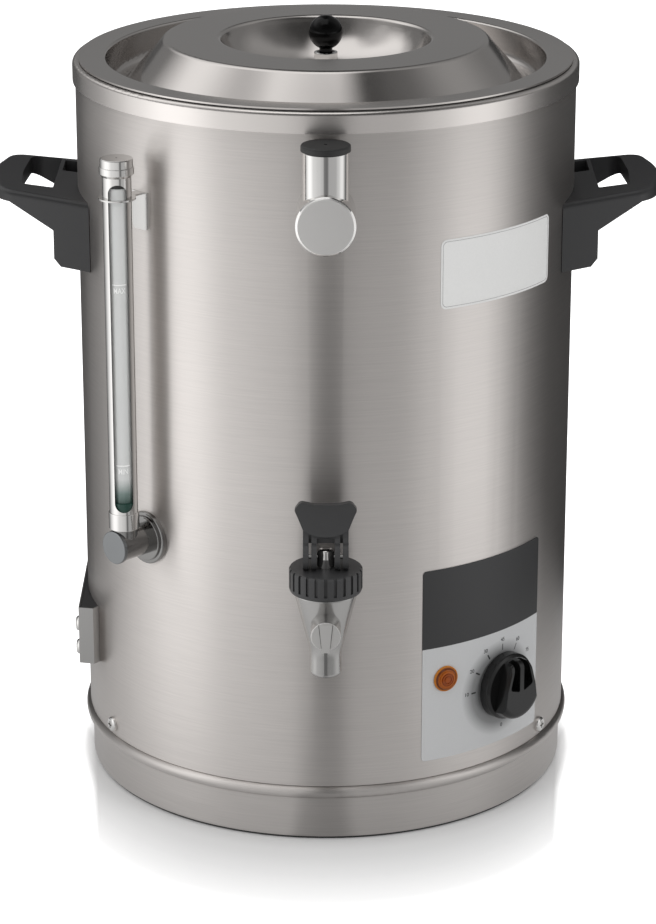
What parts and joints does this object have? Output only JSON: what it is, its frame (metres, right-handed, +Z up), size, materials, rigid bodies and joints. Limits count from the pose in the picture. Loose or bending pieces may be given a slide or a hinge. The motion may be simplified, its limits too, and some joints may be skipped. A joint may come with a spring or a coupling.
{
  "type": "milk warmer",
  "caption": "Upright round water-bath milk warmer with lift-off lid, side handles, water filler, level gauge, lever tap at the front and a thermostat with a pilot lamp.",
  "frame": {"origin": "under the middle of the round base, on the plane of the foot strip's sole", "axes": "+Z up along the body's axis, -Y towards the front with the tap, +X towards the right handle"},
  "size_m": [0.4122, 0.3684, 0.48],
  "materials": {
    "brushed_steel": "vertical brushed",
    "polished_steel": "bright",
    "satin_steel": "satin",
    "zinc_steel": "zinc plated",
    "black_plastic": "fine grain",
    "grey_plastic": "satin",
    "black_rubber": "matte",
    "silicone": "matte",
    "green_rubber": "matte",
    "clear_glass": "clear",
    "amber_lens": "glossy",
    "panel_foil": "satin",
    "brass": "machined"
  },
  "bodies": {
    "housing": {"outer_shell": "brushed_steel", "top_collar": "polished_steel", "base_ring": "satin_steel", "base_plate": "zinc_steel", "foot_strip": "black_rubber", "base_screws": "polished_steel", "base_tie_rod": "zinc_steel", "base_nut": "zinc_steel", "water_tank": "satin_steel", "rim_seal": "silicone", "milk_pot": "satin_steel", "drain_pipe": "satin_steel", "heating_element": "satin_steel", "element_nuts": "brass", "safety_cutout": "black_plastic", "terminal_block": "black_plastic", "thermostat_body": "black_plastic", "thermostat_screws": "zinc_steel", "thermostat_bulb": "satin_steel", "control_panel": "panel_foil", "lamp_lens": "amber_lens", "lamp_body": "black_plastic", "inlet_housing": "black_plastic", "inlet_cover": "satin_steel", "inlet_screws": "polished_steel", "cord_bushing": "black_rubber", "filler_elbow": "polished_steel", "filler_seal": "silicone", "filler_nut": "zinc_steel", "gauge_elbow": "polished_steel", "gauge_plug": "polished_steel", "gauge_rosette": "polished_steel", "gauge_guard_tube": "polished_steel", "gauge_glass": "clear_glass", "gauge_bottom_seal": "green_rubber", "gauge_top_seal": "black_rubber", "gauge_lower_collar": "polished_steel", "gauge_cap": "polished_steel", "gauge_bracket": "satin_steel", "tap_body": "polished_steel", "tap_washer": "black_rubber", "tank_nuts": "zinc_steel", "tap_bonnet": "grey_plastic", "tap_spring": "satin_steel", "left_handle": "black_plastic", "right_handle": "black_plastic", "handle_plates": "zinc_steel", "handle_screws": "zinc_steel"},
    "lid": {"lid": "polished_steel", "lid_seal": "black_rubber", "lid_stem": "satin_steel", "lid_knob": "black_plastic", "lid_screw": "zinc_steel"},
    "filler_cap": {"filler_cap": "black_rubber"},
    "tap_plunger": {"tap_plunger": "polished_steel", "tap_seat": "silicone"},
    "tap_lever": {"tap_lever": "grey_plastic", "lever_pin": "polished_steel"},
    "thermostat_knob": {"thermostat_knob": "black_plastic", "thermostat_shaft": "zinc_steel"}
  },
  "joints": [
    {"name": "lid_lift", "type": "slide", "parent": "housing", "child": "lid", "axis": [0, 0, 1], "range_m": [0, 0.12]},
    {"name": "filler_cap_lift", "type": "slide", "parent": "housing", "child": "filler_cap", "axis": [0, 0, 1], "range_m": [0, 0.06]},
    {"name": "tap_plunger_lift", "type": "slide", "parent": "housing", "child": "tap_plunger", "axis": [0, 0, 1], "range_m": [0, 0.004], "deforming": ["tap_spring"]},
    {"name": "tap_lever_tip", "type": "hinge", "parent": "tap_plunger", "child": "tap_lever", "pos_m": [0, -0.181, 0.197], "axis": [1, 0, 0], "range_deg": [0, 60], "stiffness_Nm_per_rad": 0.036, "springref_deg": -60.16},
    {"name": "thermostat_turn", "type": "hinge", "parent": "housing", "child": "thermostat_knob", "pos_m": [0.10819, -0.10819, 0.0857], "axis": [-0.7071, 0.7071, 0], "range_deg": [-180, 60]}
  ],
  "couplings": [
    {"joint": "tap_lever_tip", "follows": "tap_plunger_lift", "rad_per_m": 261.8}
  ]
}
